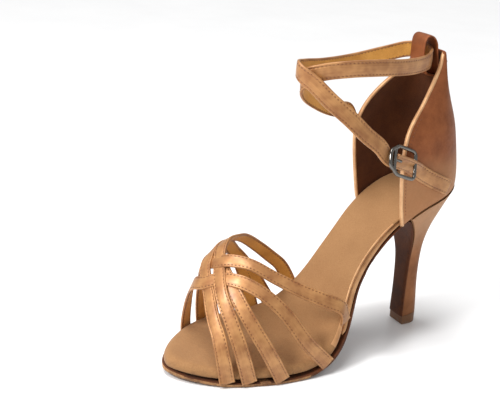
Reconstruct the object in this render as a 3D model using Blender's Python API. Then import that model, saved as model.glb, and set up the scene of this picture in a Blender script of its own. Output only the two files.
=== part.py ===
# A left ballroom sandal on a slim flared heel, standing on its sole.
# Metres. The toe points along -Y, the outer side of the foot is +X and the floor is Z = 0.
# The origin is on the floor, under the middle of the heel's top piece.

import math

import bmesh
import bpy
import numpy as np

# Last and footbed
LAST_LENGTH = 0.2287
BALL_WIDTH = 0.080
SEAT_HEIGHT = 0.1035
SEAT_SETBACK = 0.0173
TOE_SPRING = math.radians(8)
FLAT_FROM = 0.18
FLAT_TO = 0.28
TOE_ROUND = 0.14
SEAT_ROUND = 0.13

# Layers under the foot
SOLE_THICKNESS = 0.0021
PAD_THICKNESS = 0.0072
SOCK_THICKNESS = 0.0018
SHANK_THICKNESS = 0.0062
SEAT_THICKNESS = 0.0044
SOLE_MARGIN = 0.0016
GAP = 0.0003

# Heel and its top piece
TIP_WIDTH = 0.0140
TIP_LENGTH = 0.0132
TIP_HEIGHT = 0.0070
FLAP_THICKNESS = 0.0014
HEEL_FROM = 0.805

# Counter with its two quarters, and the loop at its top
COUNTER_HEIGHT = 0.0835
COUNTER_WALL = 0.0019
QUARTER_REACH = 0.0370
QUARTER_FROM = 0.765
LOOP_WIDTH = 0.0128
LOOP_WALL = 0.0012
LOOP_RISE = 0.0086
LOOP_DEPTH = 0.0096
LOOP_STAND = 0.0029

# Vamp straps
VAMP_HEIGHT = 0.061
VAMP_STRAP_WIDTH = 0.0093
VAMP_STRAP_TAPER = 0.11
VAMP_STRAP_WALL = 0.0016
VAMP_RIDGE = 0.42

# Ankle strap, the strap that anchors the buckle, and the buckle
ANKLE_WIDTH = 0.0400
ANKLE_REACH = 0.0966
ANKLE_RISE = 0.880  # over the seat, as a share of the counter's height
ANKLE_HEIGHT = SEAT_HEIGHT + ANKLE_RISE * COUNTER_HEIGHT
ANKLE_STRAP_WIDTH = 0.0098
ANKLE_STRAP_WALL = 0.0017
BUCKLE_WIDTH = 0.0152
BUCKLE_WIRE = 0.0019
KEEPER_BOW = 0.0056
PRONG_WIRE = 0.0014
PRONG_LENGTH = 0.0046

SATIN = (0.58, 0.36, 0.20)
TAN = (0.47, 0.31, 0.18)
SUEDE = (0.36, 0.22, 0.12)
BROWN = (0.20, 0.09, 0.04)
STEEL = (0.55, 0.54, 0.52)


def table(names, *rows):
    """A short table as one array for each named column."""
    return dict(zip(names.split(), np.array(rows, float).T))


# Slope of the footbed, as shares of its steepest slope and of the toe spring
FOOTBED = table(
    "at rise spring",
    (0.00, 0.000, 1.0),
    (0.10, 0.000, 0.5),
    (FLAT_FROM, 0.000, 0.0),
    (FLAT_TO, 0.000, 0.0),
    (0.36, 0.403, 0.0),
    (0.44, 0.865, 0.0),
    (0.52, 1.000, 0.0),
    (0.62, 0.870, 0.0),
    (0.72, 0.707, 0.0),
    (0.82, 0.457, 0.0),
    (0.92, 0.288, 0.0),
    (1.00, 0.230, 0.0),
)

# Outline of the footbed, as shares of the ball width
OUTLINE = table(
    "at centre half",
    (0.00, -0.015, 0.262),
    (0.08, -0.040, 0.355),
    (0.16, -0.055, 0.440),
    (0.23, -0.043, 0.487),
    (0.30, -0.030, 0.500),
    (0.37, -0.006, 0.475),
    (0.43, 0.010, 0.412),
    (0.50, 0.010, 0.325),
    (0.56, 0.002, 0.275),
    (0.65, -0.006, 0.250),
    (0.75, -0.018, 0.267),
    (0.85, -0.013, 0.290),
    (0.92, 0.000, 0.295),
    (1.00, 0.010, 0.295),
)

# How far the heel has flared from its tip to the seat's outline: in front, behind, across
HEEL = table(
    "up front back half",
    (0.00, 0.000, 0.000, 0.000),
    (0.06, 0.000, 0.000, 0.000),
    (0.23, -0.010, -0.080, -0.015),
    (0.40, -0.014, -0.145, -0.005),
    (0.55, -0.010, -0.080, 0.035),
    (0.66, 0.027, 0.085, 0.130),
    (0.76, 0.150, 0.300, 0.310),
    (0.85, 0.370, 0.560, 0.540),
    (0.93, 0.660, 0.790, 0.770),
    (1.00, 1.000, 1.000, 1.000),
)

# Counter sections: front edges of the outer and inner quarter and the back, as shares of
# the quarters' reach, and the width as a share of the seat's
COUNTER = table(
    "up outer inner back width",
    (0.00, -0.79, -0.81, 0.558, 1.00),
    (0.09, -0.81, -0.86, 0.563, 1.00),
    (0.18, -0.84, -0.91, 0.540, 0.99),
    (0.35, -0.90, -0.97, 0.46, 1.01),
    (0.47, -0.89, -1.00, 0.395, 1.00),
    (0.56, -0.83, -0.98, 0.33, 0.94),
    (0.66, -0.62, -0.90, 0.245, 0.82),
    (0.76, -0.36, -0.72, 0.165, 0.68),
    (0.86, -0.16, -0.42, 0.095, 0.54),
    (0.94, -0.07, -0.20, 0.050, 0.45),
    (1.00, -0.05, -0.11, 0.020, 0.41),
)

# Height of the arch that the vamp straps lie on, as shares of the vamp height
VAMP = table(
    "at height",
    (0.08, 0.39),
    (0.12, 0.66),
    (0.16, 0.87),
    (0.21, 1.00),
    (0.30, 0.98),
    (0.40, 0.85),
    (0.48, 0.72),
)

# Routes of the five vamp straps: share along the footbed, degrees round the arch from its
# outer edge, and lift in strap thicknesses where one crosses another
VAMP_STRAPS = {
    "first": table(
        "around at lift",
        (0, 0.112, 0.0),
        (23, 0.104, 0.0),
        (48, 0.105, 0.0),
        (70, 0.117, -0.4),
        (88, 0.140, 0.4),
        (102, 0.168, 0.0),
        (128, 0.255, 0.0),
        (155, 0.335, 0.0),
        (180, 0.385, 0.0),
    ),
    "second": table(
        "around at lift",
        (0, 0.164, 0.0),
        (20, 0.143, 0.0),
        (39, 0.135, 0.0),
        (57, 0.136, 0.4),
        (74, 0.152, -0.4),
        (87, 0.182, 0.0),
        (108, 0.255, 0.0),
        (130, 0.335, 0.0),
        (155, 0.410, 0.0),
        (180, 0.455, 0.0),
    ),
    "third": table(
        "around at lift",
        (0, 0.247, 0.0),
        (13, 0.207, 0.0),
        (27, 0.179, -0.1),
        (41, 0.164, -0.4),
        (53, 0.158, -0.8),
        (66, 0.157, -1.1),
        (80, 0.162, -1.1),
        (98, 0.188, -0.8),
        (125, 0.250, -0.3),
        (155, 0.312, 0.0),
        (180, 0.340, 0.0),
    ),
    "fourth": table(
        "around at lift",
        (0, 0.366, 0.0),
        (15, 0.310, 0.0),
        (31, 0.264, 0.0),
        (43, 0.218, 0.0),
        (54, 0.178, 0.0),
        (67, 0.145, -0.4),
        (81, 0.118, 0.4),
        (95, 0.110, 0.0),
        (120, 0.114, 0.0),
        (150, 0.124, 0.0),
        (180, 0.132, 0.0),
    ),
    "fifth": table(
        "around at lift",
        (0, 0.468, 0.0),
        (14, 0.445, 0.0),
        (31, 0.384, 0.0),
        (42, 0.322, 0.0),
        (51, 0.266, 0.0),
        (62, 0.212, 0.0),
        (72, 0.175, 0.4),
        (84, 0.150, -0.4),
        (105, 0.148, 0.0),
        (135, 0.165, 0.0),
        (180, 0.190, 0.0),
    ),
}

# The ankle strap's sewn end on the inner quarter: share along the seat and up the counter
ANKLE_SEWN = table(
    "at up",
    (0.840, 0.455),
    (0.812, 0.465),
    (0.785, 0.475),
)

# Its route twice round the ankle, to the buckle: side and reach as shares of the ankle's
# width and reach, height of its height, and degrees that it looks upwards
ANKLE = table(
    "side reach height tilt",
    (-0.622, 0.440, 0.796, 6),
    (-0.480, 0.570, 0.815, 4),
    (-0.290, 0.765, 0.860, 0),
    (-0.130, 0.910, 0.912, 0),
    (-0.020, 0.962, 0.948, 0),
    (0.090, 0.950, 0.974, 0),
    (0.220, 0.900, 0.990, 0),
    (0.420, 0.760, 1.006, 0),
    (0.500, 0.560, 1.007, 0),
    (0.450, 0.370, 1.000, 0),
    (0.350, 0.230, 0.998, 0),
    (0.230, 0.120, 1.004, 0),
    (0.110, 0.076, 1.013, 0),
    (-0.020, 0.068, 1.019, 0),
    (-0.150, 0.078, 1.022, 0),
    (-0.260, 0.125, 1.020, 0),
    (-0.355, 0.265, 1.004, 0),
    (-0.410, 0.500, 0.982, 0),
    (-0.300, 0.765, 0.980, 0),
    (-0.150, 0.930, 0.990, 0),
    (-0.030, 0.996, 0.994, 0),
    (0.090, 0.997, 0.983, 3),
    (0.230, 0.960, 0.962, 8),
    (0.440, 0.880, 0.910, 14),
    (0.610, 0.785, 0.860, 19),
    (0.700, 0.680, 0.804, 22),
    (0.735, 0.585, 0.762, 22),
)

# Middles of the buckle's two bars: the one beside the ankle strap, then the far one
BUCKLE = table(
    "side reach height tilt",
    (0.780, 0.482, 0.719, 22),
    (0.725, 0.331, 0.685, 20),
)

# The buckle's strap on the outer quarter: share along the seat and up the counter
ANCHOR_SEWN = table(
    "at up",
    (0.845, 0.245),
    (0.870, 0.190),
    (0.895, 0.135),
    (0.915, 0.090),
)

# The loop's tab: back to front as shares of its depth, up as shares of its rise
LOOP = table(
    "depth rise",
    (0.04, 0.37),
    (0.26, 0.80),
    (0.58, 1.00),
    (0.87, 0.91),
    (1.00, 0.58),
    (1.01, -0.10),
    (0.97, -1.00),
    (0.55, -1.66),
)

# Step along the footbed, as a share of it, that slopes and facings are measured over
NUDGE = 0.004


def read(rows, name, at, key="at"):
    """A column of a table at any place, on a smooth curve that doesn't overshoot its rows."""
    x = rows[key]
    y = rows[name]
    step = np.diff(x)
    slope = np.diff(y) / step
    bend = np.zeros(len(x))
    for i in range(1, len(x) - 1):
        if slope[i - 1] * slope[i] > 0:
            left = 2 * step[i] + step[i - 1]
            right = step[i] + 2 * step[i - 1]
            bend[i] = (left + right) / (left / slope[i - 1] + right / slope[i])
    bend[0] = slope[0]
    bend[-1] = slope[-1]
    at = np.asarray(at, float)
    i = np.clip(np.searchsorted(x, at) - 1, 0, len(x) - 2)
    h = step[i]
    s = np.clip((at - x[i]) / h, 0, 1)
    return (
        y[i] * (1 + 2 * s) * (1 - s) ** 2
        + bend[i] * h * s * (1 - s) ** 2
        + y[i + 1] * s**2 * (3 - 2 * s)
        - bend[i + 1] * h * s**2 * (1 - s)
    )


def spline(points, count):
    """Points spread evenly along a smooth curve through the given ones."""
    points = np.array(points, float)
    padded = np.vstack([2 * points[0] - points[1], points, 2 * points[-1] - points[-2]])
    fine = []
    for a, b, c, d in zip(padded, padded[1:], padded[2:], padded[3:]):
        for s in np.linspace(0, 1, 24, endpoint=False):
            fine.append(
                0.5 * (2 * b + (c - a) * s + (2 * a - 5 * b + 4 * c - d) * s**2
                       + (3 * b - a - 3 * c + d) * s**3)
            )
    fine = np.array(fine + [points[-1]])
    length = np.r_[0, np.cumsum(np.linalg.norm(np.diff(fine[:, :3], axis=0), axis=1))]
    even = np.linspace(0, length[-1], count)
    return np.stack([np.interp(even, length, fine[:, i]) for i in range(points.shape[1])], 1)


def unit(v):
    return v / np.linalg.norm(v, axis=-1, keepdims=True)


def footbed_curve(steps=480):
    """Y, Z and slope along the footbed, with the steepest slope found from the seat height."""
    at = np.linspace(0, 1, steps + 1)
    rise = read(FOOTBED, "rise", at)
    spring = read(FOOTBED, "spring", at) * TOE_SPRING
    pieces = LAST_LENGTH / steps
    ball_height = SOLE_THICKNESS + GAP + PAD_THICKNESS
    flat = int(FLAT_TO * steps)
    low, high = 0.0, math.radians(85)
    for _ in range(40):
        steepest = (low + high) / 2
        slope = rise * steepest - spring
        z = np.r_[0, np.cumsum(np.sin((slope[1:] + slope[:-1]) / 2)) * pieces]
        if z[-1] - z[flat] + ball_height > SEAT_HEIGHT:
            high = steepest
        else:
            low = steepest
    y = np.r_[0, np.cumsum(np.cos((slope[1:] + slope[:-1]) / 2)) * pieces]
    return at, y - y[-1] + SEAT_SETBACK, z - z[flat] + ball_height, slope


BED_AT, BED_Y, BED_Z, BED_SLOPE = footbed_curve()


def half_width(at, margin=0.0):
    """Half of the footbed's width, rounded off at the toe and the seat."""
    toe = np.clip(np.asarray(at, float) / TOE_ROUND, 0, 1)
    seat = np.clip((1 - np.asarray(at, float)) / SEAT_ROUND, 0, 1)
    ends = np.sqrt(1 - (1 - toe) ** 2) * np.sqrt(1 - (1 - seat) ** 2)
    return (read(OUTLINE, "half", at) * BALL_WIDTH + margin) * ends


def middle(at):
    return read(OUTLINE, "centre", at) * BALL_WIDTH


def layers(at):
    """Thickness of everything between the footbed and the outsole."""
    keys = [0.42, 0.52, 0.74, 0.86]
    depth = [PAD_THICKNESS, SHANK_THICKNESS, SHANK_THICKNESS, SEAT_THICKNESS]
    return np.interp(at, keys, depth)


def insole_depth(at):
    return np.interp(at, [0.40, 0.50], [PAD_THICKNESS, SOCK_THICKNESS])


def bed(at, x, drop):
    """A point under the footbed, measured square to it."""
    at = np.asarray(at, float)
    slope = np.interp(at, BED_AT, BED_SLOPE)
    y = np.interp(at, BED_AT, BED_Y) + np.minimum(at, 0) * LAST_LENGTH
    y = y + np.maximum(at - 1, 0) * LAST_LENGTH + drop * np.sin(slope)
    z = np.interp(at, BED_AT, BED_Z) - drop * np.cos(slope)
    return np.stack([x + 0 * y, y, z], -1)


def edge(at, side, inset):
    """Where the outline runs on one side, moved inwards in the plane of the footbed."""
    at = np.asarray(at, float)
    nudge = 1e-4
    a = np.clip(at - nudge, 0, 1)
    b = np.clip(at + nudge, 0, 1)
    run = (b - a) * LAST_LENGTH
    across = middle(b) + side * half_width(b) - middle(a) - side * half_width(a)
    length = np.hypot(run, across)
    along_in = side * across / length
    along_in = np.where(at <= 0, 1.0, np.where(at >= 1, -1.0, along_in))
    across_in = np.where((at <= 0) | (at >= 1), 0.0, -side * run / length)
    moved = at + along_in * inset / LAST_LENGTH
    return moved, middle(at) + side * half_width(at) + across_in * inset


def stations(first, last, count):
    """Places along the last, closer together at the rounded toe and seat."""
    toe = TOE_ROUND * (1 - np.cos(np.radians([0, 8, 16, 26, 38, 52, 70])))
    seat = 1 - SEAT_ROUND * (1 - np.cos(np.radians([70, 52, 36, 22, 11, 0])))
    middle_from = first if first > 0 else TOE_ROUND
    middle_to = last if last < 1 else 1 - SEAT_ROUND
    found = list(np.linspace(middle_from, middle_to, count))
    if first <= 0:
        found = list(toe) + found
    if last >= 1:
        found = found + list(seat)
    return np.array(found)


def material(name, colour, roughness, metallic=0.0):
    made = bpy.data.materials.new(name)
    made.use_nodes = True
    shader = made.node_tree.nodes["Principled BSDF"]
    shader.inputs["Base Color"].default_value = (*colour, 1.0)
    shader.inputs["Roughness"].default_value = roughness
    shader.inputs["Metallic"].default_value = metallic
    made.diffuse_color = (*colour, 1.0)
    return made


def add_object(name, mesh, look, smooth_below=50):
    made = bpy.data.objects.new(name, mesh)
    bpy.context.scene.collection.objects.link(made)
    mesh.materials.append(look)
    mesh.shade_smooth()
    mesh.set_sharp_from_angle(angle=math.radians(smooth_below))
    made.parent = shoe
    return made


def loft(name, sections, look, ends=True):
    """A closed solid through sections that have the same number of points each."""
    sections = np.asarray(sections, float)
    count, size = sections.shape[:2]
    form = bmesh.new()
    verts = [[form.verts.new(p) for p in ring] for ring in sections]
    for i in range(count - 1 if ends else count):
        a = verts[i]
        b = verts[(i + 1) % count]
        for j in range(size):
            k = (j + 1) % size
            form.faces.new((a[j], a[k], b[k], b[j]))
    if ends:
        form.faces.new(verts[0])
        form.faces.new(reversed(verts[-1]))
    bmesh.ops.remove_doubles(form, verts=form.verts, dist=1e-6)
    bmesh.ops.dissolve_degenerate(form, edges=form.edges, dist=1e-7)
    bmesh.ops.recalc_face_normals(form, faces=form.faces)
    mesh = bpy.data.meshes.new(name)
    form.to_mesh(mesh)
    form.free()
    return add_object(name, mesh, look)


def strap_section(width, wall):
    """A strap's section: across it, and through it, with softened edges."""
    soft = wall * 0.25
    w = width / 2
    t = wall / 2
    return np.array([
        (w, -t + soft), (w, t - soft), (w - soft, t), (-w + soft, t),
        (-w, t - soft), (-w, -t + soft), (-w + soft, -t), (w - soft, -t),
    ])


def sweep(points, faces_out, section, widths=None):
    """Sections of a strap along a middle line, each turned to face outwards."""
    along = unit(np.gradient(points, axis=0))
    across = unit(np.cross(faces_out, along))
    out = np.cross(along, across)
    size = np.ones(len(points)) if widths is None else widths
    return (
        points[:, None]
        + across[:, None] * section[None, :, :1] * size[:, None, None]
        + out[:, None] * section[None, :, 1:]
    )


def join(base, others):
    """One body from solids that overlap."""
    for other in others:
        other.hide_render = True
        other.display_type = "WIRE"
        union = base.modifiers.new("join " + other.name, "BOOLEAN")
        union.operation = "UNION"
        union.object = other
        union.solver = "EXACT"


def insole():
    """The covered footbed: a rolled edge at the ball, thin over the shank and seat."""
    at = stations(0, 1, 26)
    depth = insole_depth(at)
    roll = (depth - SOCK_THICKNESS) / (PAD_THICKNESS - SOCK_THICKNESS)
    rim = (
        (0.0060, 0.0, 0.00),
        (0.0028, 0.0002, 0.03),
        (0.0010, 0.0008, 0.14),
        (0.0002, 0.0002, 0.36),
        (0.0002, -0.0002, 0.68),
        (0.0010, 0.0, 1.00),
    )
    columns = []
    for side in (1, -1):
        ring = []
        for inset, extra, drop in rim:
            moved, x = edge(at, side, inset * 0.5 + extra * roll + inset * 0.5 * roll)
            ring.append(bed(moved, x, drop * depth))
        columns.append(ring if side == 1 else ring[::-1])
    lateral, medial = columns
    centre_top = bed(np.clip(at, 0.045, 0.975), middle(at), 0)
    sections = np.stack(lateral[::-1] + [centre_top] + medial[::-1], 1)
    return loft("insole", sections, tan)


def shank_board():
    """The covered board between the insole and the sole, which shows along the waist."""
    at = stations(0.425, 1, 20)
    top = insole_depth(at) + GAP
    bottom = np.maximum(layers(at), top + 0.0008)
    columns = []
    for side, inset, depth in (
        (1, 0.0012, bottom), (1, 0.0002, bottom - 0.0008), (1, 0.0002, top),
        (-1, 0.0002, top), (-1, 0.0002, bottom - 0.0008), (-1, 0.0012, bottom),
    ):
        moved, x = edge(at, side, inset)
        columns.append(bed(moved, x, depth))
    return loft("shank_board", np.stack(columns, 1), satin)


def seat_ring(count, first):
    """The seat's outline from one side round the back to the other: place along, and side."""
    straight = np.linspace(first, 1 - SEAT_ROUND, count)
    rounded = 1 - SEAT_ROUND * (1 - np.cos(np.radians(np.linspace(72, 0, 9))))
    one_way = np.r_[straight, rounded[:-1]]
    at = np.r_[one_way, 1.0, one_way[::-1]]
    side = np.r_[np.ones(len(one_way)), 1, -np.ones(len(one_way))]
    return at, side


def seat_base(at, side, out):
    """The seat's outline on the underside of the board."""
    moved, x = edge(at, 1, -out)
    other, y = edge(at, -1, -out)
    moved = np.where(side > 0, moved, other)
    return bed(moved, np.where(side > 0, x, y), layers(at))


def shaped(base, front, back, width, up, top):
    """A seat outline drawn in or out to a section's own front, back and width."""
    low = base[:, 1].min()
    high = base[:, 1].max()
    share = (base[:, 1] - low) / (high - low)
    y = front + share * (back - front)
    z = base[:, 2] + up * (top - base[:, 2])
    return np.stack([base[:, 0] * width, y, z], -1)


def counter_section(up, base, thickness=0.0):
    """One section of the counter, at a share of its height."""
    outer = read(COUNTER, "outer", up, "up") * QUARTER_REACH
    inner = read(COUNTER, "inner", up, "up") * QUARTER_REACH
    back = read(COUNTER, "back", up, "up") * QUARTER_REACH - thickness
    width = read(COUNTER, "width", up, "up")
    half = np.abs(base[:, 0]).max()
    front = (outer + inner) / 2 + base[:, 0] / half * (outer - inner) / 2
    top = SEAT_HEIGHT - SEAT_THICKNESS + COUNTER_HEIGHT
    return shaped(base, front, back, width - thickness / half, up, top)


def counter():
    """The hollow heel cup with its two quarters, open above, in front and below."""
    at, side = seat_ring(7, QUARTER_FROM)
    base = seat_base(at, side, GAP + COUNTER_WALL)
    ups = np.r_[np.linspace(0, 0.9, 16), 0.95, 1.0]
    outer = np.array([counter_section(u, base) for u in ups])
    inner = np.array([counter_section(u, base, COUNTER_WALL) for u in ups])
    inner[..., 2] = outer[..., 2]
    rings = np.concatenate([outer, inner[::-1]])
    return loft("counter", rings.transpose(1, 0, 2), satin)


def heel_section(up, base):
    """One section of the heel, between its tip and the seat's outline."""
    flare = [read(HEEL, name, up, "up") for name in ("front", "back", "half")]
    seat = (base[:, 1].min(), base[:, 1].max(), np.abs(base[:, 0]).max())
    tip = (-TIP_LENGTH / 2, TIP_LENGTH / 2, TIP_WIDTH / 2)
    front, back, half = (t + f * (s - t) for t, f, s in zip(tip, flare, seat))
    section = shaped(base, front, back, half / seat[2], 0, 0)
    section[:, 2] = (base[:, 2] - GAP) * up
    return section


def heel_block(name, ups, look):
    at, side = seat_ring(5, HEEL_FROM)
    base = seat_base(at, side, GAP + COUNTER_WALL)
    return loft(name, [heel_section(u, base) for u in ups], look)


def heel():
    """The slim flared heel, from its top piece up to the seat."""
    first = (TIP_HEIGHT + GAP) / (SEAT_HEIGHT - SEAT_THICKNESS)
    return heel_block("heel", np.r_[first, 0.12, 0.23, 0.34, 0.45, np.linspace(0.55, 1, 11)], satin)


def top_piece():
    """The plastic piece that the heel stands on."""
    height = TIP_HEIGHT / (SEAT_HEIGHT - SEAT_THICKNESS)
    return heel_block("top_piece", [0.0, height], brown)


def breast_line(ups):
    """Front face of the heel in the middle: Y and Z for each share of its height."""
    at, side = seat_ring(5, HEEL_FROM)
    base = seat_base(at, side, GAP + COUNTER_WALL)
    return np.array([heel_section(u, base)[0, 1:] for u in ups])


def outsole():
    """Suede sole: flat at the ball, up the waist, then down the front of the heel."""
    toe = -SOLE_MARGIN * 0.2 / LAST_LENGTH
    reach = TOE_ROUND - toe
    toe_at = toe + reach * (1 - np.cos(np.radians([0, 6, 12, 19, 27, 36, 47, 60, 76])))
    waist_to = 0.785
    at = np.r_[toe_at, np.linspace(TOE_ROUND, waist_to, 26)]
    rounding = np.sqrt(1 - (1 - np.clip((at - toe) / reach, 0, 1)) ** 2)
    margin = SOLE_MARGIN * np.interp(at, [0.0, 0.12, 0.33, 0.40, 0.50], [0.2, 1, 1, 0.5, 0.1])
    clipped = np.clip(at, 0, 1)
    half = (read(OUTLINE, "half", clipped) * BALL_WIDTH + margin) * rounding
    drop = layers(clipped) + GAP
    thick = np.interp(at, [0.5, 0.75], [SOLE_THICKNESS, FLAP_THICKNESS])
    centre = middle(clipped)
    foot = [
        (bed(a, 0, d)[1:], bed(a, 0, d + t)[1:], c, h)
        for a, d, t, c, h in zip(at, drop, thick, centre, half)
    ]
    ups = np.array([0.975, 0.95, 0.92, 0.88, 0.83, 0.77, 0.70, 0.60, 0.50, 0.38, 0.25, 0.14])
    last = (TIP_HEIGHT + GAP) / (SEAT_HEIGHT - SEAT_THICKNESS)
    ups = np.r_[ups, last]
    line = breast_line(ups)
    down = unit(np.gradient(line, axis=0))
    forward = np.stack([down[:, 1], -down[:, 0]], 1)
    forward = np.where(forward[:, :1] > 0, -forward, forward)
    flare = read(HEEL, "half", ups, "up")
    halves = (TIP_WIDTH / 2 + flare * (half_width(HEEL_FROM) - TIP_WIDTH / 2)) * 0.93
    flap = [
        (p + n * GAP, p + n * (GAP + FLAP_THICKNESS), 0.0, h)
        for p, n, h in zip(line, forward, halves)
    ]
    sections = []
    for face, under, c, h in foot + flap:
        soft = min(0.0006, h * 0.2)
        mid = face + (under - face) * 0.6
        sections.append([
            (c + h, *face), (c + h, *mid), (c + h - soft, *under),
            (c - h + soft, *under), (c - h, *mid), (c - h, *face),
        ])
    return loft("outsole", sections, suede)


def vamp_point(at, around):
    """A point on the arch that the vamp straps lie on; its ridge is over the inner side."""
    turn = np.radians(around)
    half = half_width(at) + GAP + VAMP_STRAP_WALL / 2
    cosine = np.cos(turn)
    sine = np.sin(turn)
    outer_x = np.abs(cosine) ** 0.85 - VAMP_RIDGE * sine**2
    steep = np.interp(at, [0.14, 0.28], [1.45, 0.95])
    inner_x = -VAMP_RIDGE - (1 - VAMP_RIDGE) * np.abs(cosine) ** steep
    x = middle(at) + half * np.where(cosine > 0, outer_x, inner_x)
    share = np.abs(sine) ** np.where(cosine > 0, 0.85, steep)
    depth = (layers(at) - GAP) * np.interp(at, [0.38, 0.47], [1, 0.4])
    foot = bed(at, 0, depth)
    top = bed(at, 0, 0)
    y = foot[..., 1] + share * (top[..., 1] - foot[..., 1])
    height = top[..., 2] - foot[..., 2] + read(VAMP, "height", at) * VAMP_HEIGHT
    return np.stack([x, y, foot[..., 2] + share * height], -1)


def vamp_route(rows, count=30):
    """Middle line of a vamp strap and the way that it faces."""
    around = np.linspace(0, 180, 181)
    line = np.stack([read(rows, "at", around, "around"), around,
                     read(rows, "lift", around, "around")], 1)
    places = vamp_point(line[:, 0], line[:, 1])
    length = np.r_[0, np.cumsum(np.linalg.norm(np.diff(places, axis=0), axis=1))]
    even = np.linspace(0, length[-1], count)
    at, turn, lift = (np.interp(even, length, line[:, i]) for i in range(3))
    step = 0.5
    low = np.clip(turn - step, 0, 180)
    high = np.clip(turn + step, 0, 180)
    over = vamp_point(at, high) - vamp_point(at, low)
    along = vamp_point(at + NUDGE, turn) - vamp_point(at - NUDGE, turn)
    out = unit(np.cross(along, over))
    out[0] = out[1]
    out[-1] = out[-2]
    out = np.where(turn[:, None] < 60, out * np.sign(out[:, :1]), out * np.sign(out[:, 2:]))
    out[turn > 150] *= np.sign(-out[turn > 150][:, :1])
    taper = 1 - VAMP_STRAP_TAPER * np.sin(np.radians(turn))
    return vamp_point(at, turn) + out * (lift * VAMP_STRAP_WALL)[:, None], out, taper, at


def level_end(ring, point, beside, at):
    """An end section slid along its strap until it lies level with the footbed."""
    slope = np.interp(at, BED_AT, BED_SLOPE)
    upright = np.array([0, -math.sin(slope), math.cos(slope)])
    along = unit(beside - point)
    return ring + along * ((point - ring) @ upright / (along @ upright))[:, None]


def vamp_straps():
    """Five straps, woven over and under one another and joined where they cross."""
    section = strap_section(VAMP_STRAP_WIDTH, VAMP_STRAP_WALL)
    made = []
    for name, rows in VAMP_STRAPS.items():
        points, out, taper, at = vamp_route(rows)
        rings = sweep(points, out, section, taper)
        rings[0] = level_end(rings[0], points[0], points[1], at[0])
        rings[-1] = level_end(rings[-1], points[-1], points[-2], at[-1])
        name = "vamp_straps" if not made else "strap_" + name
        made.append(loft(name, rings, satin))
    join(made[0], made[1:])
    return made[0]


def ankle_places(rows):
    return np.stack([
        rows["side"] * ANKLE_WIDTH,
        -rows["reach"] * ANKLE_REACH,
        rows["height"] * ANKLE_HEIGHT,
        rows["tilt"],
    ], 1)


def facing(points, tilt):
    """Which way a strap round the ankle faces: outwards, level but for its tilt."""
    along = np.gradient(points, axis=0)
    level = unit(np.stack([along[:, 1], -along[:, 0], 0 * along[:, 0]], 1))
    up = np.array([0, 0, 1.0])
    tilt = np.radians(tilt)[:, None]
    return level * np.cos(tilt) + up * np.sin(tilt)


def counter_face(at, up, side):
    """A point on the outside of the counter, and the way that it faces."""
    def place(a, u):
        ring = seat_base(np.r_[QUARTER_FROM, a, 1.0], np.full(3, side), GAP + COUNTER_WALL)
        return counter_section(u, ring)[1]
    along = place(at + NUDGE, up) - place(at - NUDGE, up)
    over = place(at, up + NUDGE) - place(at, up - NUDGE)
    return place(at, up), unit(np.cross(along, over)) * side


def sewn(rows, side):
    """Middle line and facing of a strap that lies on the counter."""
    found = [counter_face(at, up, side) for at, up in zip(rows["at"], rows["up"])]
    faces = np.array([out for _, out in found])
    return np.array([here for here, _ in found]) + faces * (2 * GAP + ANKLE_STRAP_WALL / 2), faces


def buckle_axes():
    """The buckle's near bar, its directions (along, across and out), and its length."""
    bars = ankle_places(BUCKLE)[:, :3]
    along = unit(bars[1] - bars[0])
    tilt = math.radians(BUCKLE["tilt"][0])
    out = np.array([math.cos(tilt), 0.18, math.sin(tilt)])
    across = unit(np.cross(out, along))
    return bars[0], along, across, np.cross(along, across), np.linalg.norm(bars[1] - bars[0])


def under_buckle(shares):
    """Places on the middle line of a strap that passes under the buckle's bars."""
    start, along, _, out, length = buckle_axes()
    drop = BUCKLE_WIRE / 2 + GAP + ANKLE_STRAP_WALL / 2
    points = [start + along * s * length - out * drop for s in shares]
    return np.array(points), np.repeat(out[None], len(points), 0)


def strap_from(name, runs, count):
    """A strap along runs of middle points and facings."""
    line = spline(np.hstack([np.vstack([p for p, _ in runs]), np.vstack([f for _, f in runs])]), count)
    section = strap_section(ANKLE_STRAP_WIDTH, ANKLE_STRAP_WALL)
    return loft(name, sweep(line[:, :3], unit(line[:, 3:]), section), satin)


def ankle_strap():
    """The long strap: from the inner quarter, round the ankle, through the loop, to the buckle."""
    line = ankle_places(ANKLE)
    free = line[:, :3], facing(line[:, :3], line[:, 3])
    return strap_from("ankle_strap", [sewn(ANKLE_SEWN, -1), free, under_buckle([-0.25, 0.03])], 96)


def anchor_strap():
    """The short strap under the buckle, sewn on the outer quarter down to the seat seam."""
    return strap_from("anchor_strap", [under_buckle([0.06, 0.5, 0.95]), sewn(ANCHOR_SEWN, 1)], 24)


def wire(name, points, diameter, look, closed=False, sides=8):
    """A round wire along a line of points."""
    points = np.array(points)
    if closed:
        along = unit(np.roll(points, -1, 0) - np.roll(points, 1, 0))
    else:
        along = unit(np.gradient(points, axis=0))
    normal = unit(np.cross(along[0], [0.3, 0.2, 1.0]))
    rings = []
    for p, t in zip(points, along):
        normal = unit(normal - t * np.dot(normal, t))
        other = np.cross(t, normal)
        rings.append([
            p + diameter / 2 * (normal * math.cos(a) + other * math.sin(a))
            for a in 2 * math.pi * np.arange(sides) / sides
        ])
    return loft(name, rings, look, ends=not closed)


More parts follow.
